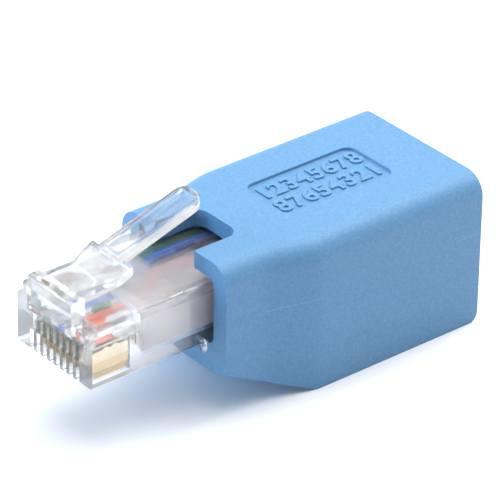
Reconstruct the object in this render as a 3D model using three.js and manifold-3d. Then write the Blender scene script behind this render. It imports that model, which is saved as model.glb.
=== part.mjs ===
// Rollover adapter: a short in-line network adapter. A clear 8-way plug with a spring latch stands out
// of the front of a blue moulded housing, and an 8-way socket opens in its rear face. Inside, eight
// wires carry each plug contact to the socket contact with the opposite number.
// Millimetres. Y runs along the adapter from the plug to the socket, Z is up, X is across.
// The sizes along Y are measured from the plug's contact face, and the finished group is moved so
// that its origin is the middle of the underside of the bounding box.

import * as THREE from 'three';
import { ConvexGeometry } from 'three/addons/geometries/ConvexGeometry.js';
import { mergeVertices } from 'three/addons/utils/BufferGeometryUtils.js';
import Module from 'manifold-3d';

const wasm = await Module();
wasm.setup();

// Housing
const housingWidth = 19;
const housingHeight = 16.5;
const housingFrontY = 14.3;
const frontSectionWidth = 16.2;
const flareStartY = 19.4;
const flareEndY = 24.6;
const flareSoftening = 1;
const frontUndersideZ = 4.3;
const frontCutWidth = 1.25;
const frontCutHeight = 1;
const frontCutEndY = 20.5;
const pocketCornerRadius = 0.8;
const passageLength = 9.9;
const passageDropLength = 4.9;
const topEdgeRadius = 2.3;
const topEdgeSteps = 6;
const topWall = 1.9;
const notchWidth = 6.2;
const notchBackY = 19.9;
const notchCornerRadius = 1.4;
const panelWidth = 7.1;
const panelFrontY = 25.7;
const panelRearY = 39.3;
const panelDepth = 0.35;
const panelCornerRadius = 1.2;

// Plug body
const plugWidth = 11.68;
const plugHeight = 6.6;
const plugLength = 21;
const shoulderHeight = 5.55;
const shoulderDepth = 0.7;
const rootWidth = 6.9;
const rootHeight = 8.55;
const rootLength = 1.6;
const rootOverhang = 0.6;
const rootPadBottom = 4.8;
const rootEdgeRadius = 0.35;
const plugEdgeChamfer = 0.25;
const plugTopEdgeRadius = 0.55;
const baySideWall = 0.85;
const bayFloor = 1.3;
const bayCeiling = 0.8;
const bayFrontY = 6;
const wireChannelFrontY = 1;
const toothDrop = 1.15;
const toothWidth = 1.7;
const toothLength = 0.6;

// Contact blades in the plug
const contactCount = 8;
const contactPitch = 1.02;
const bladeThickness = 0.3;
const bladeSlotClearance = 0.12;
const bladeFrontY = 0.95;
const bladeRearY = 5.1;
const bladeRecess = 0.35;
const bladeShoulderZ = 3.15;
const bladeTopZ = 3.45;
const bladeCorner = 0.55;
const slotOpenHeight = 2.2;

// Latch
const hingeY = 1.45;
const hingeZ = 8.05;
const hingeSlit = 0.3;
const latchThickness = 1;
const tabRootWidth = 5.4;
const earWidth = 6.2;
const earRearY = 6.95;
const earTopZ = 9.75;
const tabBendY = 4.3;
const tabBendZ = 8.65;
const handleWidth = 3.2;
const handleFrontY = 5.9;
const handleTipY = 16.65;
const handleTipZ = 13.25;
const handleStep = 0.25;
const handleThickness = 1.15;
const handleTipRadius = 1;
const handleRim = 0.5;
const handleRecessDepth = 0.4;
const handleRecessFrontY = 6.9;

// Inner trough that carries the wires through the plug's rear bay. Its lid has a window on one side,
// where two of the wires climb out.
const troughSideWall = 0.7;
const troughFloorTopZ = 3.2;
const troughLid = 0.4;
const troughLidRearY = 17.2;
const troughWindowFrontY = 12.4;
const troughWindowX = -1.2;
const troughFrontInset = 0.4;

// Wires
const wireDiameter = 0.86;
const wireSides = 8;
const wireSteps = 36;
const wireStartY = 1.25;
const wireRowZ = 4.25;
const wireUpperZ = 5.2;
const layerPitch = 1.1;
const greenWireBayX = -3.45;
const blueWireBayX = -2.4;
const orangeWireBayX = -0.4;
const wireRiseLength = 1.6;
const wireSinkLength = 2;
const wireLayerLength = 3.2;
const wireDropLength = 1.6;

// Socket insert in the housing's rear
const socketInsertWidth = 15.4;
const socketInsertHeight = 12.9;
const socketInsertLength = 14.5;
const socketInsertBottomZ = 1.8;
const socketRearInset = 0.2;
const socketWidth = 12;
const socketHeight = 6.9;
const socketFloor = 1.5;
const socketBackWall = 2;
const latchWayWidth = 6.3;
const latchWayRise = 1.7;
const latchSlotWidth = 4.5;
const latchSlotRise = 3.2;

// Socket contacts
const springWidth = 0.4;
const springThickness = 0.35;
const springFrontInset = 2.9;
const springFreeEndInset = 11.8;
const springFreeEndRise = 2.3;
const springBendRadius = 0.5;
const springBendSteps = 6;
const springTail = 0.9;
const springClearance = 0.15;

// Clearances between pieces
const seatGap = 0.3;
const wireEndGap = 0.3;
const wireSideGap = 0.06;
const overcut = 1;

// Places that follow from the sizes above
const plugTopZ = housingHeight - topWall - seatGap;
const plugBottomZ = plugTopZ - plugHeight;
const noseY = -rootOverhang;
const socketInsertFrontY = plugLength + passageLength;
const socketInsertRearY = socketInsertFrontY + socketInsertLength;
const housingRearY = socketInsertRearY + socketRearInset;
const socketBackY = socketInsertFrontY + socketBackWall;
const socketFloorZ = socketInsertBottomZ + socketFloor;
const springRunZ = socketFloorZ - springClearance - springThickness / 2;
const tailEndY = socketInsertFrontY - springTail;
const wireEndY = tailEndY - wireEndGap;
const bayHalfWidth = plugWidth / 2 - baySideWall;
const bayTopZ = plugHeight - bayCeiling;
const bladeSlotWidth = bladeThickness + 2 * bladeSlotClearance;
const wireLowerZ = troughFloorTopZ + wireDiameter / 2 + wireSideGap;
const wireTunnelZ = wireLowerZ + wireDiameter + wireSideGap;
const troughLidBottomZ = wireTunnelZ + wireDiameter / 2 + wireSideGap;
const troughTopZ = troughLidBottomZ + troughLid;
const topLayerZ = plugBottomZ + wireUpperZ;
const lowestLayerZ = topLayerZ - (contactCount - 1) * layerPitch;
const passageFloorZ = lowestLayerZ - wireDiameter / 2 - seatGap;
const wireRowHalfWidth = (contactCount - 1) * contactPitch / 2 + wireDiameter / 2 + springClearance;

const material = (color, roughness, metalness = 0, opacity = 1) => new THREE.MeshStandardMaterial({
  color, roughness, metalness, opacity, transparent: opacity < 1,
});
const materials = {
  housing: material(0x7fb6e8, 0.5),
  clear: material(0xe8eef0, 0.08, 0, 0.4),
  milky: material(0xe6dfe2, 0.4),
  gold: material(0xd9a441, 0.25, 1),
  socket: material(0x1a1b1d, 0.45),
};
const wireColours = [0x7a4a30, 0xe6dcd2, 0x2f8a4a, 0xdfe6f2, 0x2a55b8, 0xdcebdc, 0xf06a2a, 0xf2e2d2];

// Solid from a closed geometry
const solid = (geometry) => {
  const bare = geometry.index ? geometry : geometry.clone();
  bare.deleteAttribute('normal');
  bare.deleteAttribute('uv');
  const merged = mergeVertices(bare, 1e-5);
  return new wasm.Manifold(new wasm.Mesh({
    numProp: 3,
    vertProperties: Float32Array.from(merged.attributes.position.array),
    triVerts: Uint32Array.from(merged.index.array),
  }));
};

// Geometry from a solid
const geometryOf = (body) => {
  const mesh = body.getMesh();
  const geometry = new THREE.BufferGeometry();
  geometry.setAttribute('position', new THREE.BufferAttribute(mesh.vertProperties, 3));
  geometry.setIndex(new THREE.BufferAttribute(mesh.triVerts, 1));
  geometry.computeVertexNormals();
  return geometry;
};

// Block from its low and high corners
const block = ([x0, y0, z0], [x1, y1, z1]) => solid(
  new THREE.BoxGeometry(x1 - x0, y1 - y0, z1 - z0)
    .translate((x0 + x1) / 2, (y0 + y1) / 2, (z0 + z1) / 2),
);

const shapeOf = (points) => new THREE.Shape(points.map(([a, b]) => new THREE.Vector2(a, b)));

// Prism of a plan outline (x, y), standing from z0 to z1
const planPrism = (shape, z0, z1) => solid(
  new THREE.ExtrudeGeometry(shape, { depth: z1 - z0, bevelEnabled: false, curveSegments: 8 })
    .translate(0, 0, z0),
);

// Prism of a side outline (y, z), running across from x0 to x1
const sidePrism = (shape, x0, x1) => {
  const axes = new THREE.Matrix4().makeBasis(
    new THREE.Vector3(0, 1, 0), new THREE.Vector3(0, 0, 1), new THREE.Vector3(1, 0, 0),
  );
  const geometry = new THREE.ExtrudeGeometry(shape, {
    depth: x1 - x0, bevelEnabled: false, curveSegments: 8,
  });
  return solid(geometry.applyMatrix4(axes).translate(x0, 0, 0));
};

// Prism of a front outline (x, z), running along from y0 to y1
const frontPrism = (shape, y0, y1) => {
  const axes = new THREE.Matrix4().makeBasis(
    new THREE.Vector3(-1, 0, 0), new THREE.Vector3(0, 0, 1), new THREE.Vector3(0, 1, 0),
  );
  const geometry = new THREE.ExtrudeGeometry(shape, {
    depth: y1 - y0, bevelEnabled: false, curveSegments: 8,
  });
  return solid(geometry.applyMatrix4(axes).translate(0, y0, 0));
};

// Rectangle outline with round corners
const roundedRectangle = (x0, y0, x1, y1, radius) => {
  const shape = new THREE.Shape();
  shape.moveTo(x0 + radius, y0);
  shape.lineTo(x1 - radius, y0);
  shape.absarc(x1 - radius, y0 + radius, radius, -Math.PI / 2, 0, false);
  shape.lineTo(x1, y1 - radius);
  shape.absarc(x1 - radius, y1 - radius, radius, 0, Math.PI / 2, false);
  shape.lineTo(x0 + radius, y1);
  shape.absarc(x0 + radius, y1 - radius, radius, Math.PI / 2, Math.PI, false);
  shape.lineTo(x0, y0 + radius);
  shape.absarc(x0 + radius, y0 + radius, radius, Math.PI, 1.5 * Math.PI, false);
  return shape;
};

const contactX = (index) => (index - (contactCount - 1) / 2) * contactPitch;
const indices = Array.from({ length: contactCount }, (_, index) => index);

const sum = (solids) => solids.reduce((whole, next) => whole.add(next));

// Plan of the housing: narrow at the front, flaring to full width. It runs past both end faces, so
// that the rounding of its top edge stays on the long sides.
const housingPlan = () => {
  const narrow = frontSectionWidth / 2;
  const wide = housingWidth / 2;
  const y0 = housingFrontY - 2 * topEdgeRadius;
  const y1 = housingRearY + 2 * topEdgeRadius;
  const slope = (wide - narrow) / (flareEndY - flareStartY);
  const bend = flareSoftening;
  const shape = new THREE.Shape();
  shape.moveTo(narrow, y0);
  shape.lineTo(narrow, flareStartY - bend);
  shape.quadraticCurveTo(narrow, flareStartY, narrow + slope * bend, flareStartY + bend);
  shape.lineTo(wide - slope * bend, flareEndY - bend);
  shape.quadraticCurveTo(wide, flareEndY, wide, flareEndY + bend);
  shape.lineTo(wide, y1);
  shape.lineTo(-wide, y1);
  shape.lineTo(-wide, flareEndY + bend);
  shape.quadraticCurveTo(-wide, flareEndY, -wide + slope * bend, flareEndY - bend);
  shape.lineTo(-narrow - slope * bend, flareStartY + bend);
  shape.quadraticCurveTo(-narrow, flareStartY, -narrow, flareStartY - bend);
  shape.lineTo(-narrow, y0);
  return shape;
};

// What is cut off one lower edge of the front section: a slanted corner that narrows to nothing
const frontCut = (side) => {
  const edge = side * frontSectionWidth / 2;
  const inner = edge - side * frontCutWidth;
  const outer = edge + side * overcut;
  const highZ = frontUndersideZ + frontCutHeight;
  const lowZ = frontUndersideZ - overcut;
  const endZ = frontUndersideZ * (flareEndY - frontCutEndY) / (flareEndY - housingFrontY);
  const section = [
    [inner, frontUndersideZ],
    [edge, highZ],
    [outer, highZ],
    [outer, lowZ],
    [inner, lowZ],
  ];
  const corners = [
    ...section.map(([x, z]) => [x, housingFrontY - overcut, z]),
    ...section.map(([x, z]) => [x, housingFrontY, z]),
    [edge, frontCutEndY, endZ],
    [outer, frontCutEndY, endZ],
  ];
  return solid(new ConvexGeometry(corners.map((corner) => new THREE.Vector3(...corner))));
};

const housingOuter = () => {
  const rounded = solid(new THREE.ExtrudeGeometry(housingPlan(), {
    depth: housingHeight, bevelEnabled: true, bevelSize: topEdgeRadius, bevelOffset: -topEdgeRadius,
    bevelThickness: topEdgeRadius, bevelSegments: topEdgeSteps, curveSegments: 3,
  }).translate(0, 0, -topEdgeRadius));
  const side = sidePrism(shapeOf([
    [housingFrontY, frontUndersideZ],
    [flareEndY, 0],
    [housingRearY, 0],
    [housingRearY, housingHeight + overcut],
    [housingFrontY, housingHeight + overcut],
  ]), -housingWidth, housingWidth);
  return rounded.intersect(side).subtract(frontCut(1)).subtract(frontCut(-1));
};

const housing = () => {
  const pocketHalf = plugWidth / 2 + seatGap;
  const pocketBackY = plugLength + seatGap;
  const bayHalf = socketInsertWidth / 2 + seatGap;
  const notch = roundedRectangle(
    -notchWidth / 2, housingFrontY - notchBackY, notchWidth / 2, notchBackY, notchCornerRadius,
  );
  const panel = roundedRectangle(
    -panelWidth / 2, panelFrontY, panelWidth / 2, panelRearY, panelCornerRadius,
  );
  const pocket = roundedRectangle(
    -pocketHalf, plugBottomZ - seatGap, pocketHalf, plugTopZ + seatGap, pocketCornerRadius,
  );
  const passageHalf = wireRowHalfWidth + seatGap;
  return housingOuter()
    .subtract(frontPrism(pocket, housingFrontY - overcut, pocketBackY))
    .subtract(planPrism(notch, plugTopZ, housingHeight + overcut))
    .subtract(block(
      [-passageHalf, pocketBackY - overcut, passageFloorZ],
      [passageHalf, socketInsertFrontY, plugTopZ + seatGap],
    ))
    .subtract(block(
      [-passageHalf, socketInsertFrontY - passageDropLength, socketInsertBottomZ],
      [passageHalf, socketInsertFrontY, plugTopZ],
    ))
    .subtract(block(
      [-bayHalf, socketInsertFrontY - seatGap, socketInsertBottomZ - seatGap],
      [bayHalf, housingRearY + overcut, socketInsertBottomZ + socketInsertHeight + seatGap],
    ))
    .subtract(planPrism(panel, housingHeight - panelDepth, housingHeight + overcut));
};

// Cross outline of the plug body: its lower long edges are chamfered and its upper ones round
const plugSection = (height, radius) => {
  const half = plugWidth / 2;
  const cut = plugEdgeChamfer;
  const shape = new THREE.Shape();
  shape.moveTo(-half + cut, 0);
  shape.lineTo(half - cut, 0);
  shape.lineTo(half, cut);
  shape.lineTo(half, height - radius);
  shape.absarc(half - radius, height - radius, radius, 0, Math.PI / 2, false);
  shape.lineTo(-half + radius, height);
  shape.absarc(-half + radius, height - radius, radius, Math.PI / 2, Math.PI, false);
  shape.lineTo(-half, cut);
  return shape;
};

// Block at the nose that the latch springs from, with its front pad
const latchRoot = () => {
  const half = rootWidth / 2;
  const side = new THREE.Shape();
  side.moveTo(noseY, rootPadBottom);
  side.lineTo(wireChannelFrontY, rootPadBottom);
  side.lineTo(wireChannelFrontY, bayTopZ);
  side.lineTo(rootLength - rootOverhang, bayTopZ);
  side.lineTo(rootLength - rootOverhang, rootHeight);
  side.lineTo(noseY + rootEdgeRadius, rootHeight);
  side.absarc(
    noseY + rootEdgeRadius, rootHeight - rootEdgeRadius, rootEdgeRadius, Math.PI / 2, Math.PI, false,
  );
  return sidePrism(side, -half, half);
};

// Small triangular teeth of the cable grip, below the plug just ahead of the housing
const gripTeeth = () => {
  const outer = plugWidth / 2 - plugEdgeChamfer;
  const rearY = housingFrontY - seatGap;
  return [1, -1].map((side) => frontPrism(
    shapeOf([
      [side * outer, plugEdgeChamfer],
      [side * (outer - toothWidth), plugEdgeChamfer],
      [side * outer, -toothDrop],
    ]),
    rearY - toothLength, rearY,
  ));
};

const plugBody = () => {
  const whole = sum([
    frontPrism(plugSection(plugHeight, plugTopEdgeRadius), shoulderDepth, plugLength),
    frontPrism(plugSection(shoulderHeight, plugEdgeChamfer), 0, shoulderDepth + overcut),
    latchRoot(),
    ...gripTeeth(),
  ]);
  const bay = block(
    [-bayHalfWidth, bayFrontY, bayFloor],
    [bayHalfWidth, plugLength + overcut, bayTopZ],
  );
  const wireWay = block(
    [-wireRowHalfWidth, wireChannelFrontY, wireRowZ - wireDiameter / 2 - bladeSlotClearance],
    [wireRowHalfWidth, bayFrontY + overcut, wireRowZ + wireDiameter / 2 + bladeSlotClearance],
  );
  const slots = indices.flatMap((index) => {
    const x0 = contactX(index) - bladeSlotWidth / 2;
    const x1 = contactX(index) + bladeSlotWidth / 2;
    return [
      block([x0, -overcut, -overcut], [x1, wireChannelFrontY, slotOpenHeight]),
      block([x0, bladeFrontY, -overcut], [x1, bladeRearY + bladeSlotClearance, wireRowZ]),
    ];
  });
  return [bay, wireWay, ...slots].reduce((body, cut) => body.subtract(cut), whole)
    .translate([0, 0, plugBottomZ]);
};

// One contact blade: round at the lower front, with two points at the top that pierce the wire
const contactBlade = () => {
  const toothStep = (bladeRearY - bladeFrontY) / 4;
  return sidePrism(shapeOf([
    [bladeFrontY, bladeRecess + bladeCorner],
    [bladeFrontY + bladeCorner / 3, bladeRecess + bladeCorner / 3],
    [bladeFrontY + bladeCorner, bladeRecess],
    [bladeRearY - bladeCorner, bladeRecess],
    [bladeRearY, bladeRecess + 1.5 * bladeCorner],
    [bladeRearY, bladeShoulderZ],
    [bladeRearY - toothStep, bladeShoulderZ],
    [bladeRearY - 1.5 * toothStep, bladeTopZ],
    [bladeRearY - 2 * toothStep, bladeShoulderZ],
    [bladeRearY - 2.5 * toothStep, bladeTopZ],
    [bladeRearY - 3 * toothStep, bladeShoulderZ],
    [bladeFrontY, bladeShoulderZ],
  ]), -bladeThickness / 2, bladeThickness / 2).translate([0, 0, plugBottomZ]);
};

// Handle's top line, as a height above the plug's underside
const handleTopZ = (y) => {
  const startZ = earTopZ + handleStep;
  return startZ + (handleTipZ - startZ) * (y - handleFrontY) / (handleTipY - handleFrontY);
};

// Latch, in the hinge's own frame: a thin sprung tab, two locking ears and a channelled handle
const latch = () => {
  const frontY = rootLength - rootOverhang + hingeSlit;
  const tabSide = sidePrism(shapeOf([
    [frontY, rootHeight - latchThickness],
    [tabBendY, tabBendZ - latchThickness],
    [earRearY, earTopZ - latchThickness],
    [earRearY, earTopZ],
    [tabBendY, tabBendZ],
    [frontY, rootHeight],
  ]), -earWidth, earWidth);
  const tabPlan = planPrism(shapeOf([
    [-tabRootWidth / 2, frontY - overcut],
    [tabRootWidth / 2, frontY - overcut],
    [tabRootWidth / 2, tabBendY],
    [earWidth / 2, earRearY - latchThickness],
    [earWidth / 2, earRearY],
    [-earWidth / 2, earRearY],
    [-earWidth / 2, earRearY - latchThickness],
    [-tabRootWidth / 2, tabBendY],
  ]), 0, handleTipZ + overcut);
  const handleSide = sidePrism(shapeOf([
    [handleFrontY, handleTopZ(handleFrontY) - handleThickness],
    [handleTipY, handleTipZ - handleThickness],
    [handleTipY, handleTipZ],
    [handleFrontY, handleTopZ(handleFrontY)],
  ]), -earWidth, earWidth);
  const half = handleWidth / 2;
  const handlePlan = new THREE.Shape();
  handlePlan.moveTo(-half, handleFrontY);
  handlePlan.lineTo(half, handleFrontY);
  handlePlan.lineTo(half, handleTipY - handleTipRadius);
  handlePlan.absarc(half - handleTipRadius, handleTipY - handleTipRadius, handleTipRadius, 0, Math.PI / 2);
  handlePlan.lineTo(-half + handleTipRadius, handleTipY);
  handlePlan.absarc(
    -half + handleTipRadius, handleTipY - handleTipRadius, handleTipRadius, Math.PI / 2, Math.PI,
  );
  const recessPlan = planPrism(
    shapeOf([
      [-half + handleRim, handleRecessFrontY],
      [half - handleRim, handleRecessFrontY],
      [half - handleRim, handleTipY - handleRim],
      [-half + handleRim, handleTipY - handleRim],
    ]),
    0, handleTipZ + overcut,
  );
  const recessSide = sidePrism(shapeOf([
    [handleFrontY, handleTopZ(handleFrontY) - handleRecessDepth],
    [handleTipY, handleTipZ - handleRecessDepth],
    [handleTipY, handleTipZ + overcut],
    [handleFrontY, handleTopZ(handleFrontY) + overcut],
  ]), -earWidth, earWidth);
  return tabSide.intersect(tabPlan)
    .add(handleSide.intersect(planPrism(handlePlan, 0, handleTipZ + overcut)))
    .subtract(recessPlan.intersect(recessSide))
    .translate([0, -hingeY, -hingeZ]);
};

// Trough of milky plastic in the plug's bay. The wires run in a tunnel under its lid.
const innerTrough = () => {
  const half = bayHalfWidth - seatGap;
  const channelHalf = half - troughSideWall;
  const frontY = bayFrontY + troughFrontInset;
  const body = block([-half, frontY, bayFloor + seatGap], [half, plugLength, troughTopZ]);
  const tunnel = block(
    [-channelHalf, frontY - overcut, troughFloorTopZ],
    [channelHalf, troughLidRearY + overcut, troughLidBottomZ],
  );
  const channel = block(
    [-channelHalf, troughLidRearY, troughFloorTopZ],
    [channelHalf, plugLength + overcut, troughTopZ + overcut],
  );
  const window = block(
    [-channelHalf, troughWindowFrontY, troughFloorTopZ],
    [troughWindowX, troughLidRearY + overcut, troughTopZ + overcut],
  );
  return [tunnel, channel, window].reduce((whole, cut) => whole.subtract(cut), body)
    .translate([0, 0, plugBottomZ]);
};

// Where each wire lies behind the blades: three of them cross over the others and lean to one side
const upperWires = new Map([[2, greenWireBayX], [4, blueWireBayX], [6, orangeWireBayX]]);
const upperLayers = [6, 5, 7];
const lowerWires = indices.filter((index) => !upperWires.has(index));

const layerOf = (index) => {
  const upper = [...upperWires.keys()].indexOf(index);
  return upper < 0 ? lowerWires.indexOf(index) : upperLayers[upper];
};

// A wire's centre line, as [y, x, z] stations joined by smooth steps
const wireStations = (index) => {
  const startX = contactX(index);
  const endX = contactX(contactCount - 1 - index);
  const isUpper = upperWires.has(index);
  const bayX = isUpper ? upperWires.get(index) : startX;
  const rowZ = plugBottomZ + wireRowZ;
  const tunnelZ = plugBottomZ + (isUpper ? wireTunnelZ : wireLowerZ);
  const climbs = isUpper && bayX + wireDiameter / 2 < troughWindowX;
  const bayZ = climbs ? plugBottomZ + wireUpperZ : tunnelZ;
  const layerZ = lowestLayerZ + layerOf(index) * layerPitch;
  const sinkZ = isUpper ? bayZ : layerZ;
  const plugRearY = plugLength + seatGap;
  const crossStartY = plugRearY + wireLayerLength;
  const crossEndY = wireEndY - wireDropLength;
  return [
    [wireStartY, startX, rowZ],
    [bayFrontY, startX, rowZ],
    [bayFrontY + wireRiseLength, startX, tunnelZ],
    [troughWindowFrontY, bayX, tunnelZ],
    [troughWindowFrontY + wireRiseLength, bayX, bayZ],
    [plugRearY, bayX, bayZ],
    [plugRearY + wireSinkLength, bayX, sinkZ],
    [crossStartY, bayX, layerZ],
    [crossEndY, endX, layerZ],
    [wireEndY, endX, springRunZ],
  ];
};

class WireLine extends THREE.Curve {
  constructor(stations) {
    super();
    this.stations = stations;
  }

  getPoint(t, target = new THREE.Vector3()) {
    const position = t * (this.stations.length - 1);
    const from = Math.min(Math.floor(position), this.stations.length - 2);
    const part = position - from;
    const ease = part * part * (3 - 2 * part);
    const [y0, x0, z0] = this.stations[from];
    const [y1, x1, z1] = this.stations[from + 1];
    return target.set(x0 + (x1 - x0) * ease, y0 + (y1 - y0) * part, z0 + (z1 - z0) * ease);
  }
}

const wire = (index) => {
  const section = new THREE.Shape();
  section.absarc(0, 0, wireDiameter / 2, 0, 2 * Math.PI, false);
  return new THREE.ExtrudeGeometry(section, {
    extrudePath: new WireLine(wireStations(index)), steps: wireSteps, curveSegments: wireSides,
  });
};

// Black socket insert: a stepped opening for a plug and its latch, with grooves for the contacts
const socketInsert = () => {
  const half = socketInsertWidth / 2;
  const mouthY = socketInsertRearY + overcut;
  const topZ = socketFloorZ + socketHeight;
  const body = block(
    [-half, socketInsertFrontY, socketInsertBottomZ],
    [half, socketInsertRearY, socketInsertBottomZ + socketInsertHeight],
  );
  const ways = [
    [socketWidth, 0, topZ],
    [latchWayWidth, socketHeight - overcut, topZ + latchWayRise],
    [latchSlotWidth, socketHeight - overcut, topZ + latchSlotRise],
  ].map(([width, rise, high]) => block(
    [-width / 2, socketBackY, socketFloorZ + rise], [width / 2, mouthY, high],
  ));
  const grooves = indices.map((index) => block(
    [
      contactX(index) - springWidth / 2 - springClearance,
      socketInsertFrontY - overcut,
      springRunZ - springThickness / 2 - springClearance,
    ],
    [
      contactX(index) + springWidth / 2 + springClearance,
      socketInsertRearY - springFrontInset + 2 * springBendRadius,
      socketFloorZ + springClearance,
    ],
  ));
  return [...ways, ...grooves].reduce((whole, cut) => whole.subtract(cut), body);
};

// One socket contact: a tail, a run along the socket's floor, a bend and a springy rising arm
const socketContact = () => {
  const bendY = socketInsertRearY - springFrontInset;
  const bendZ = springRunZ + springBendRadius;
  const freeEnd = [socketInsertRearY - springFreeEndInset, socketFloorZ + springFreeEndRise];
  const armSlope = Math.atan2(freeEnd[1] - (bendZ + springBendRadius), freeEnd[0] - bendY);
  const line = [[tailEndY, springRunZ]];
  for (let step = 0; step <= springBendSteps; step += 1) {
    const angle = -Math.PI / 2 + (armSlope * step) / springBendSteps;
    line.push([bendY + springBendRadius * Math.cos(angle), bendZ + springBendRadius * Math.sin(angle)]);
  }
  line.push(freeEnd);
  const side = (offset) => line.map(([y, z], at) => {
    const [y0, z0] = line[Math.max(at - 1, 0)];
    const [y1, z1] = line[Math.min(at + 1, line.length - 1)];
    const length = Math.hypot(y1 - y0, z1 - z0);
    return [y - offset * (z1 - z0) / length, z + offset * (y1 - y0) / length];
  });
  const outline = [...side(-springThickness / 2), ...side(springThickness / 2).reverse()];
  return sidePrism(shapeOf(outline), -springWidth / 2, springWidth / 2);
};

const part = new THREE.Group();

const place = (name, geometry, surface, position = [0, 0, 0]) => {
  const mesh = new THREE.Mesh(geometry, surface.clone());
  mesh.name = name;
  mesh.position.set(...position);
  part.add(mesh);
};

place('housing', geometryOf(housing()), materials.housing);
place('plug_body', geometryOf(plugBody()), materials.clear);
place('latch', geometryOf(latch()), materials.clear, [0, hingeY, plugBottomZ + hingeZ]);
place('inner_trough', geometryOf(innerTrough()), materials.milky);
place('socket_insert', geometryOf(socketInsert()), materials.socket);
indices.forEach((index) => {
  const number = index + 1;
  const across = [contactX(index), 0, 0];
  place(`plug_contact_${number}`, geometryOf(contactBlade()), materials.gold, across);
  place(`socket_contact_${number}`, geometryOf(socketContact()), materials.gold, across);
  place(`wire_${number}`, wire(index), material(wireColours[index], 0.4));
});

part.position.y = -(noseY + housingRearY) / 2;
part.updateMatrixWorld(true);

export default part;
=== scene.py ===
import math

import bmesh
import bpy
from mathutils import Matrix, Vector


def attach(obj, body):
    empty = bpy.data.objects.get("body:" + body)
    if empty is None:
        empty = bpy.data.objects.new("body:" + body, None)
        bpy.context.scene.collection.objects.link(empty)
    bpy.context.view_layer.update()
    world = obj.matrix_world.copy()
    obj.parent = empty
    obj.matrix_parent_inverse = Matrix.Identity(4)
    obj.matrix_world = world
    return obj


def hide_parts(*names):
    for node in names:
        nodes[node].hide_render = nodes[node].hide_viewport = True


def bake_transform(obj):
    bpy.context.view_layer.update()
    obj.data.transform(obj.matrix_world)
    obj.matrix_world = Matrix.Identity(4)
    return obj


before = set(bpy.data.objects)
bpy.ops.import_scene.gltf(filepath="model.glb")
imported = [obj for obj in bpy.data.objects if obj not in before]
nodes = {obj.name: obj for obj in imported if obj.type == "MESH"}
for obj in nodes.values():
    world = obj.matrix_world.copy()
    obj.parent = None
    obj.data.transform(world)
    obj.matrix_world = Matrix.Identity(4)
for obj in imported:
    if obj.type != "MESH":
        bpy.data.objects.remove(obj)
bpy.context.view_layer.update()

MM = 0.001
PHOTO_SIZE = 500

# Camera, as seen in the photograph
CAMERA_AZIMUTH = math.radians(50.2)
CAMERA_ELEVATION = math.radians(30.53)
CAMERA_ROLL = math.radians(0.95)
CAMERA_DISTANCE = 396.8 * MM
CAMERA_FOCAL_PIXELS = 4071
CAMERA_TARGET = Vector((0, -0.5, 8.0)) * MM
CAMERA_SHIFT_RIGHT = 1.378 * MM
CAMERA_SHIFT_UP = 3.747 * MM
CAMERA_CLIP_START = 10 * MM
SENSOR_WIDTH = 36

# Studio
SKY_STRENGTH = 0.85
FLOOR_HALF_SIZE = 2.0
FLOOR_WHITE = (0.94, 0.94, 0.94)
FILL_BLUE = (0.48, 0.72, 1.0)

# Dark card beside the object
FLAG_AZIMUTH = math.radians(64)
FLAG_DISTANCE = 165 * MM
FLAG_HALF_WIDTH = 180 * MM
FLAG_HEIGHT = 240 * MM
FLAG_GREY = (0.03, 0.03, 0.03)

# Vertices closer than the first are one vertex, and those closer than the second lie on one line
SAME_VERTEX = 0.001 * MM
SAME_PLACE = 0.02 * MM

# Faces that turn less than the first angle are one flat face, and edges sharper than the others are rounded
FLAT_ANGLE = math.radians(1)
SHARP_ANGLE = math.radians(35)
PANEL_SHARP_ANGLE = math.radians(60)

# Roundings of the sharp edges
HOUSING_EDGE = 0.4 * MM
CLEAR_EDGE = 0.14 * MM
LATCH_EDGE = 0.16 * MM
SOCKET_EDGE = 0.12 * MM

# Housing details
HEEL_RADIUS = 1.1 * MM
HEEL_STEPS = 5
PARTING_HEIGHT = 10.3 * MM
PARTING_HALF_WIDTH = 0.09 * MM
PARTING_FRONT_Y = (-3.2 * MM, 2.4 * MM)
PARTING_REAR_START_Y = 20 * MM
PARTING_FADE = 0.5 * MM
# Lightness added to the housing's colour along the parting ridge, a painted highlight
PARTING_PAINTED_HIGHLIGHT = 0.35
PANEL_CENTRE_Y = 10 * MM
PANEL_FLOOR_Z = 16.15 * MM
PANEL_EDGE = 0.12 * MM
PANEL_STEPS = 3
PANEL_REACH_X = 3.8 * MM
PANEL_REACH_Y = (2.8 * MM, 17.1 * MM)
DIGIT_SIZE = 3 * MM
DIGIT_WEIGHT = 0.04 * MM
DIGIT_RAISE = 0.15 * MM
DIGIT_BEVEL = 0.03 * MM
DIGIT_SPACING = 1.1
DIGIT_ROW_OFFSET = 1.5 * MM
PIN_ORDER = "12345678"

# Where the latch springs from its root and bends
ROOT_REAR_Y = -21.5 * MM
HINGE_START_Y = -21.4 * MM
HINGE_END_Y = -20.6 * MM
HINGE_CUTS = 6
HINGE_GAP = 0.02 * MM

# Where the milky trough turns thin and lets the wires show
LID_BOTTOM_Z = 12.7 * MM
LID_FADE = 0.15 * MM
CLEARING_START_Y = -13.5 * MM
CLEARING_END_Y = -10.0 * MM

# Hazy stretch of the plug, over the wires behind the blades
HAZE_REACH_Y = (-18.2 * MM, -15.7 * MM)
HAZE_BOTTOM_Z = 12.2 * MM
HAZE_FADE = 0.5 * MM

# Bands of the contact blades, as heights; below the first lies a band of painted shade
BLADE_PAINTED_SHADE_TOP = 8.75 * MM
BLADE_SEAM = 9.75 * MM

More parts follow.
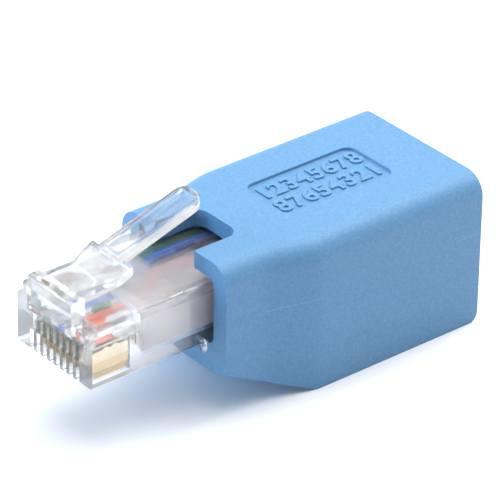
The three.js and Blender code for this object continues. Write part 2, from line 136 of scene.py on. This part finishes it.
# Colours of the surfaces, plain ones and those that run from one stop to the next
HOUSING_BLUE = (0.105, 0.27, 0.475)
# The housing's blues run from its darkest grain up to the painted highlight along its parting ridge
HOUSING_BLUES = [(0.3, (0.09, 0.235, 0.425)), (0.7, (0.13, 0.308, 0.525)), (1.0, (0.17, 0.37, 0.6))]
CLEAR = (0.985, 0.985, 0.985)
MILK = (0.8, 0.75, 0.77)
MILKS = [(0.35, (0.76, 0.7, 0.73)), (0.65, (0.84, 0.79, 0.81))]
BLADE_GOLD = (0.86, 0.66, 0.36)
# The first stop is painted shade along the blade's lower edge, and the last is paler above its seam
BLADE_GOLDS = [
    (0.0, (0.6, 0.38, 0.13)),
    (0.06, (0.82, 0.62, 0.33)),
    (0.94, (0.82, 0.62, 0.33)),
    (1.0, (0.9, 0.78, 0.55)),
]
GOLD = (0.86, 0.6, 0.24)
BLACK = (0.018, 0.018, 0.02)

# Colours of the wires, and how much darker their mottle is
BROWN = (0.2, 0.075, 0.035)
GREEN = (0.012, 0.2, 0.055)
BLUE = (0.008, 0.15, 0.7)
ORANGE = (0.9, 0.14, 0.02)
WHITE = (0.82, 0.8, 0.76)
WIRE_SHADE = 0.8


def link(name, data):
    piece = bpy.data.objects.new(name, data)
    bpy.context.scene.collection.objects.link(piece)
    return piece


# Materials

def new_material(name, color, roughness, **inputs):
    material = bpy.data.materials.new(name)
    material.use_nodes = True
    shader = material.node_tree.nodes["Principled BSDF"]
    shader.inputs["Base Color"].default_value = (*color, 1)
    shader.inputs["Roughness"].default_value = roughness
    for key, value in inputs.items():
        shader.inputs[key.replace("_", " ")].default_value = value
    return material


def shader_of(material):
    return material.node_tree.nodes["Principled BSDF"]


def add_node(material, kind, **settings):
    node = material.node_tree.nodes.new(kind)
    for key, value in settings.items():
        setattr(node, key, value)
    return node


def feed(material, source, socket):
    """Links a node's output to one of the material's shader sockets."""
    material.node_tree.links.new(source, shader_of(material).inputs[socket])


def noise(material, scale, detail=2.0, roughness=0.5):
    place = add_node(material, "ShaderNodeTexCoord")
    texture = add_node(material, "ShaderNodeTexNoise")
    texture.inputs["Scale"].default_value = scale
    texture.inputs["Detail"].default_value = detail
    texture.inputs["Roughness"].default_value = roughness
    material.node_tree.links.new(place.outputs["Object"], texture.inputs["Vector"])
    return texture.outputs["Fac"]


def ramp(material, source, stops):
    node = add_node(material, "ShaderNodeValToRGB")
    elements = node.color_ramp.elements
    while len(elements) < len(stops):
        elements.new(0.5)
    for element, (position, color) in zip(elements, stops):
        element.position = position
        element.color = (*color, 1)
    material.node_tree.links.new(source, node.inputs["Fac"])
    return node.outputs["Color"]


def bump(material, height, strength, distance, under=None):
    """Bump from a height, laid over another bump's normal where one is given."""
    node = add_node(material, "ShaderNodeBump")
    node.inputs["Strength"].default_value = strength
    node.inputs["Distance"].default_value = distance
    material.node_tree.links.new(height, node.inputs["Height"])
    if under:
        material.node_tree.links.new(under, node.inputs["Normal"])
    feed(material, node.outputs["Normal"], "Normal")
    return node.outputs["Normal"]


def remap(material, source, from_low, from_high, to_low=0.0, to_high=1.0):
    node = add_node(material, "ShaderNodeMapRange")
    node.inputs["From Min"].default_value = from_low
    node.inputs["From Max"].default_value = from_high
    node.inputs["To Min"].default_value = to_low
    node.inputs["To Max"].default_value = to_high
    material.node_tree.links.new(source, node.inputs["Value"])
    return node.outputs["Result"]


def spread(material, source, socket, low, high):
    """Feeds a socket from a source between 0 and 1, spread over a range."""
    feed(material, remap(material, source, 0, 1, low, high), socket)


def place_along(material, axis):
    """The surface point's own coordinate along an axis, in metres."""
    place = add_node(material, "ShaderNodeTexCoord")
    split = add_node(material, "ShaderNodeSeparateXYZ")
    material.node_tree.links.new(place.outputs["Object"], split.inputs["Vector"])
    return split.outputs[axis]


def arithmetic(material, operation, *values):
    node = add_node(material, "ShaderNodeMath", operation=operation)
    for socket, value in zip(node.inputs, values):
        if isinstance(value, (int, float)):
            socket.default_value = value
        else:
            material.node_tree.links.new(value, socket)
    return node.outputs[0]


def within(material, along, reach, fade):
    """From 0 outside a reach to 1 inside it, with a fade at both ends."""
    start, end = reach
    past_start = remap(material, along, start - fade, start)
    before_end = remap(material, along, end, end + fade, 1.0, 0.0)
    return arithmetic(material, "MULTIPLY", past_start, before_end)


def housing_material():
    material = new_material("moulded_vinyl", HOUSING_BLUE, 0.42, Subsurface_Weight=0.15)
    shader = shader_of(material)
    shader.inputs["Specular IOR Level"].default_value = 0.35
    shader.inputs["Subsurface Radius"].default_value = (0.4 * MM, 0.8 * MM, 1.2 * MM)
    shader.inputs["Subsurface Scale"].default_value = 1.0
    line = parting_line(material)
    speckle = noise(material, scale=3500, detail=4, roughness=0.7)
    # Random speckle, with a painted highlight along the parting ridge
    mottle = arithmetic(material, "MULTIPLY_ADD", line, PARTING_PAINTED_HIGHLIGHT, speckle)
    feed(material, ramp(material, mottle, HOUSING_BLUES), "Base Color")
    fine = noise(material, scale=6500, detail=4, roughness=0.7)
    grain = bump(material, fine, strength=0.8, distance=0.05 * MM)
    bump(material, line, strength=0.5, distance=0.03 * MM, under=grain)
    spread(material, noise(material, scale=2500, detail=3), "Roughness", low=0.38, high=0.52)
    return material


def parting_line(material):
    """A fine ridge where the mould's halves met, which shows along the flare and at the rear end. It shapes
    the ridge's bump and the painted highlight along it.
    """
    along = place_along(material, "Y")
    height = place_along(material, "Z")
    away = arithmetic(material, "ABSOLUTE", arithmetic(material, "SUBTRACT", height, PARTING_HEIGHT))
    ridge = remap(material, away, 0, PARTING_HALF_WIDTH, 1.0, 0.0)
    front = within(material, along, PARTING_FRONT_Y, PARTING_FADE)
    rear = remap(material, along, PARTING_REAR_START_Y, PARTING_REAR_START_Y + PARTING_FADE)
    return arithmetic(material, "MULTIPLY", ridge, arithmetic(material, "ADD", front, rear))


def clear_material(name, alpha, haziness):
    """Clear plastic with a slight haze and a few flow marks, less see-through towards its edges."""
    material = new_material(name, CLEAR, 0.03, Transmission_Weight=0.98, IOR=1.5)
    glance = add_node(material, "ShaderNodeLayerWeight")
    glance.inputs["Blend"].default_value = 0.6
    edges = remap(material, glance.outputs["Facing"], 0, 1, alpha, 1.0)
    hazy = arithmetic(material, "MULTIPLY", haze(material), haziness)
    feed(material, arithmetic(material, "ADD", edges, hazy), "Alpha")
    bump(material, noise(material, scale=450), strength=0.08, distance=0.05 * MM)
    spread(material, noise(material, scale=260), "Roughness", low=0.0, high=0.08)
    clear = remap(material, noise(material, scale=330, detail=3), 0, 1, 0.94, 1.0)
    feed(material, arithmetic(material, "SUBTRACT", clear, hazy), "Transmission Weight")
    return material


def haze(material):
    """From 0 where the plastic is clear to 1 in its hazy stretch."""
    stretch = within(material, place_along(material, "Y"), HAZE_REACH_Y, HAZE_FADE)
    above = remap(material, place_along(material, "Z"), HAZE_BOTTOM_Z - HAZE_FADE, HAZE_BOTTOM_Z)
    return arithmetic(material, "MULTIPLY", stretch, above)


def milky_material():
    """Milky plastic, thinner and more see-through in its lid, most of all near the lid's window."""
    material = new_material("milky_plastic", MILK, 0.5, Subsurface_Weight=0.4, Transmission_Weight=0.25)
    shader = shader_of(material)
    shader.inputs["Subsurface Radius"].default_value = (1.2 * MM, 1.0 * MM, 1.0 * MM)
    shader.inputs["Subsurface Scale"].default_value = 1.0
    feed(material, ramp(material, noise(material, scale=300, detail=3), MILKS), "Base Color")
    bump(material, noise(material, scale=3000), strength=0.2, distance=0.03 * MM)
    lid = remap(material, place_along(material, "Z"), LID_BOTTOM_Z, LID_BOTTOM_Z + LID_FADE)
    clearing = remap(material, place_along(material, "Y"), CLEARING_START_Y, CLEARING_END_Y, 0.7, 1.0)
    thin = arithmetic(material, "MULTIPLY", lid, clearing)
    spread(material, thin, "Alpha", low=1.0, high=0.15)
    return material


def blade_material():
    """Gold plate with painted shade in a darker band along the blade's lower edge, and paler above its seam.
    """
    material = new_material("blade_gold", BLADE_GOLD, 0.3, Metallic=0.85)
    # Painted shade below the first height, plain gold above it, paler above the seam
    level = remap(material, place_along(material, "Z"), BLADE_PAINTED_SHADE_TOP, BLADE_SEAM)
    feed(material, ramp(material, level, BLADE_GOLDS), "Base Color")
    spread(material, noise(material, scale=1200), "Roughness", low=0.26, high=0.36)
    bump(material, noise(material, scale=1500), strength=0.05, distance=0.02 * MM)
    return material


def gold_material():
    material = new_material("gold_plate", GOLD, 0.25, Metallic=1.0)
    spread(material, noise(material, scale=1500, detail=3), "Roughness", low=0.2, high=0.32)
    bump(material, noise(material, scale=1500), strength=0.06, distance=0.02 * MM)
    return material


def socket_material():
    material = new_material("black_plastic", BLACK, 0.4)
    bump(material, noise(material, scale=6000, detail=3), strength=0.25, distance=0.03 * MM)
    spread(material, noise(material, scale=1500), "Roughness", low=0.34, high=0.5)
    return material


def wire_material(name, color):
    material = new_material(name, color, 0.35)
    darker = tuple(WIRE_SHADE * channel for channel in color)
    mottle = noise(material, scale=700)
    feed(material, ramp(material, mottle, [(0.35, darker), (0.65, color)]), "Base Color")
    bump(material, noise(material, scale=2500), strength=0.1, distance=0.02 * MM)
    return material


def striped_wire_material(name, stripe):
    """White insulation with slanted bands of a second colour."""
    material = new_material(name, WHITE, 0.35)
    place = add_node(material, "ShaderNodeTexCoord")
    bands = add_node(material, "ShaderNodeTexWave", bands_direction="DIAGONAL")
    bands.inputs["Scale"].default_value = 75
    bands.inputs["Distortion"].default_value = 0.6
    material.node_tree.links.new(place.outputs["Object"], bands.inputs["Vector"])
    feed(material, ramp(material, bands.outputs["Fac"], [(0.78, WHITE), (0.84, stripe)]), "Base Color")
    bump(material, noise(material, scale=2500), strength=0.1, distance=0.02 * MM)
    return material


housing_surface = housing_material()
clear_surface = clear_material("clear_plastic", alpha=0.55, haziness=0.12)
latch_surface = clear_material("clear_latch_plastic", alpha=0.8, haziness=0)
milky_surface = milky_material()
blade_surface = blade_material()
gold_surface = gold_material()
socket_surface = socket_material()
wire_surfaces = [
    wire_material("wire_brown", BROWN),
    striped_wire_material("wire_white_brown", BROWN),
    wire_material("wire_green", GREEN),
    striped_wire_material("wire_white_blue", BLUE),
    wire_material("wire_blue", BLUE),
    striped_wire_material("wire_white_green", GREEN),
    wire_material("wire_orange", ORANGE),
    striped_wire_material("wire_white_orange", ORANGE),
]


def dress(piece, material):
    piece.data.materials.clear()
    piece.data.materials.append(material)


def smooth(mesh):
    mesh.polygons.foreach_set("use_smooth", [True] * len(mesh.polygons))


def clean_copy(node):
    """A mesh like the node's, with its flat faces whole."""
    mesh = nodes[node].data.copy()
    work = bmesh.new()
    work.from_mesh(mesh)
    bmesh.ops.remove_doubles(work, verts=work.verts, dist=SAME_VERTEX)
    bmesh.ops.dissolve_limit(work, angle_limit=FLAT_ANGLE, verts=work.verts, edges=work.edges)
    return mesh, work


def rounded(node, name, body, edge, material, segments=3, shape=None):
    """A copy of a CAD node with its sharp edges rounded, which stands for that node.

    It rides on a body, where one is given, and shape is a function that mends the copy first.
    """
    mesh, work = clean_copy(node)
    if shape:
        shape(work)
    work.to_mesh(mesh)
    work.free()
    piece = link(name, mesh)
    smooth(mesh)
    bevel = piece.modifiers.new("edges", "BEVEL")
    bevel.width = edge
    bevel.segments = segments
    bevel.limit_method = "ANGLE"
    bevel.angle_limit = SHARP_ANGLE
    bevel.harden_normals = True
    dress(piece, material)
    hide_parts(node)
    if body:
        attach(piece, body)
    return piece


def settle(piece):
    """Applies a piece's modifiers to its mesh."""
    seen = piece.evaluated_get(bpy.context.evaluated_depsgraph_get())
    mesh = bpy.data.meshes.new_from_object(seen)
    piece.modifiers.clear()
    piece.data = mesh


def reach_root(work):
    """Brings the latch's front end up to the block that it springs from."""
    front = min(vertex.co.y for vertex in work.verts)
    for vertex in work.verts:
        if vertex.co.y < front + SAME_PLACE:
            vertex.co.y = ROOT_REAR_Y + HINGE_GAP


def latch_shape(work):
    """The latch reaches its root, and has cross cuts where its thin front end bends."""
    reach_root(work)
    for cut in range(HINGE_CUTS + 1):
        y = HINGE_START_Y + (HINGE_END_Y - HINGE_START_Y) * cut / HINGE_CUTS
        bmesh.ops.bisect_plane(
            work, geom=work.verts[:] + work.edges[:] + work.faces[:], plane_co=(0, y, 0), plane_no=(0, 1, 0),
        )


def in_panel(vertex):
    """Whether a vertex of the housing belongs to the sunken label panel."""
    x, y, z = vertex.co
    low, high = PANEL_REACH_Y
    return abs(x) < PANEL_REACH_X and low < y < high and z > PANEL_FLOOR_Z - PANEL_EDGE


def round_edges(work, edges, radius, steps):
    bmesh.ops.bevel(
        work, geom=edges, offset=radius, segments=steps, profile=0.5, affect="EDGES", clamp_overlap=True,
    )


def round_heel(work):
    """The large rounding of the edge under the housing's rear face."""
    heel_y = max(vertex.co.y for vertex in work.verts)
    heel_z = min(vertex.co.z for vertex in work.verts)
    edges = [
        edge for edge in work.edges
        if all(abs(vertex.co.y - heel_y) < SAME_PLACE for vertex in edge.verts)
        and all(abs(vertex.co.z - heel_z) < SAME_PLACE for vertex in edge.verts)
    ]
    round_edges(work, edges, HEEL_RADIUS, HEEL_STEPS)


def crisp_panel(work):
    """Small roundings on the label panel's edges, smaller than those of the housing."""
    edges = [
        edge for edge in work.edges
        if all(in_panel(vertex) for vertex in edge.verts)
        and abs(edge.verts[0].co.z - edge.verts[1].co.z) < PANEL_EDGE
        and edge.calc_face_angle(0) > PANEL_SHARP_ANGLE
    ]
    round_edges(work, edges, PANEL_EDGE, PANEL_STEPS)


def housing_shape(work):
    crisp_panel(work)
    round_heel(work)


housing_shell = rounded(
    "housing", "housing_shell", "adapter", HOUSING_EDGE, housing_surface, shape=housing_shape,
)
flat_sides = housing_shell.modifiers.new("flat_sides", "WEIGHTED_NORMAL")
flat_sides.weight = 100
rounded("plug_body", "plug_shell", "adapter", CLEAR_EDGE, clear_surface)
latch_tab = rounded("latch", "latch_tab", None, LATCH_EDGE, latch_surface, shape=latch_shape)
settle(latch_tab)
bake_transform(latch_tab)
rounded("socket_insert", "socket_block", "adapter", SOCKET_EDGE, socket_surface, segments=2)
dress(nodes["inner_trough"], milky_surface)
for number, wire_surface in enumerate(wire_surfaces, start=1):
    dress(nodes[f"plug_contact_{number}"], blade_surface)
    dress(nodes[f"socket_contact_{number}"], gold_surface)
    wire = nodes[f"wire_{number}"]
    dress(wire, wire_surface)
    smooth(wire.data)


# Plain pin numbers on the label panel, in their straight and reversed order

def pin_numbers(name, text, across):
    curve = bpy.data.curves.new(name, "FONT")
    curve.body = text
    curve.size = DIGIT_SIZE
    curve.align_x = "CENTER"
    curve.align_y = "CENTER"
    curve.extrude = DIGIT_RAISE
    curve.offset = DIGIT_WEIGHT
    curve.bevel_depth = DIGIT_BEVEL
    curve.space_character = DIGIT_SPACING
    piece = link(name, curve)
    place = Matrix.Translation((across, PANEL_CENTRE_Y, PANEL_FLOOR_Z))
    piece.matrix_world = place @ Matrix.Rotation(math.radians(90), 4, "Z")
    curve.materials.append(housing_surface)
    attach(piece, "adapter")


pin_numbers("pin_numbers_upper", PIN_ORDER, -DIGIT_ROW_OFFSET)
pin_numbers("pin_numbers_lower", PIN_ORDER[::-1], DIGIT_ROW_OFFSET)


# Floor, lights and camera

def direction(azimuth, elevation):
    """Unit vector from the object towards an azimuth and an elevation, in radians."""
    return Vector((
        math.sin(azimuth) * math.cos(elevation),
        -math.cos(azimuth) * math.cos(elevation),
        math.sin(elevation),
    ))


def floor():
    size = FLOOR_HALF_SIZE
    mesh = bpy.data.meshes.new("floor")
    mesh.from_pydata(
        [(-size, -size, 0), (size, -size, 0), (size, size, 0), (-size, size, 0)], [], [(0, 1, 2, 3)],
    )
    piece = link("floor", mesh)
    dress(piece, new_material("floor_white", FLOOR_WHITE, 0.7, Specular_IOR_Level=0.0))


def flag():
    """A dark card beside the object, hidden from view, that keeps the object's side in half shade."""
    middle = direction(FLAG_AZIMUTH, 0) * FLAG_DISTANCE
    across = Vector((math.cos(FLAG_AZIMUTH), math.sin(FLAG_AZIMUTH), 0)) * FLAG_HALF_WIDTH
    up = Vector((0, 0, FLAG_HEIGHT))
    corners = [middle - across, middle + across, middle + across + up, middle - across + up]
    mesh = bpy.data.meshes.new("flag")
    mesh.from_pydata(corners, [], [(0, 1, 2, 3)])
    piece = link("flag", mesh)
    dress(piece, new_material("flag_grey", FLAG_GREY, 0.9, Specular_IOR_Level=0.0))
    piece.visible_camera = False


def area_light(name, azimuth, elevation, distance, size, power, color=(1, 1, 1)):
    """A square light that faces the origin. Azimuth 0 is in front, and 90 is on the right."""
    data = bpy.data.lights.new(name, "AREA")
    data.color = color
    data.size = size
    data.energy = power
    lamp = link(name, data)
    away = direction(math.radians(azimuth), math.radians(elevation))
    lamp.location = away * distance
    lamp.rotation_euler = away.to_track_quat("Z", "Y").to_euler()


def camera():
    back = direction(CAMERA_AZIMUTH, CAMERA_ELEVATION)
    right = Vector((math.cos(CAMERA_AZIMUTH), math.sin(CAMERA_AZIMUTH), 0))
    up = back.cross(right)
    place = CAMERA_TARGET + right * CAMERA_SHIFT_RIGHT + up * CAMERA_SHIFT_UP + back * CAMERA_DISTANCE
    right_rolled = right * math.cos(CAMERA_ROLL) + up * math.sin(CAMERA_ROLL)
    up_rolled = up * math.cos(CAMERA_ROLL) - right * math.sin(CAMERA_ROLL)
    data = bpy.data.cameras.new("camera")
    data.sensor_width = SENSOR_WIDTH
    data.lens = CAMERA_FOCAL_PIXELS / PHOTO_SIZE * SENSOR_WIDTH
    data.clip_start = CAMERA_CLIP_START
    eye = link("camera", data)
    turn = Matrix((right_rolled, up_rolled, back)).transposed().to_4x4()
    eye.matrix_world = Matrix.Translation(place) @ turn
    bpy.context.scene.camera = eye


def sky():
    world = bpy.data.worlds.new("studio")
    world.use_nodes = True
    background = world.node_tree.nodes["Background"]
    background.inputs["Color"].default_value = (1, 1, 1, 1)
    background.inputs["Strength"].default_value = SKY_STRENGTH
    bpy.context.scene.world = world


floor()
flag()
sky()
area_light("key", azimuth=195, elevation=78, distance=0.55, size=0.6, power=2.8)
area_light("rear_strip", azimuth=182, elevation=50, distance=0.5, size=0.22, power=1.1)
area_light("front_fill", azimuth=-35, elevation=22, distance=0.5, size=0.4, power=2.3, color=FILL_BLUE)
camera()
bpy.context.scene.view_settings.view_transform = "Standard"
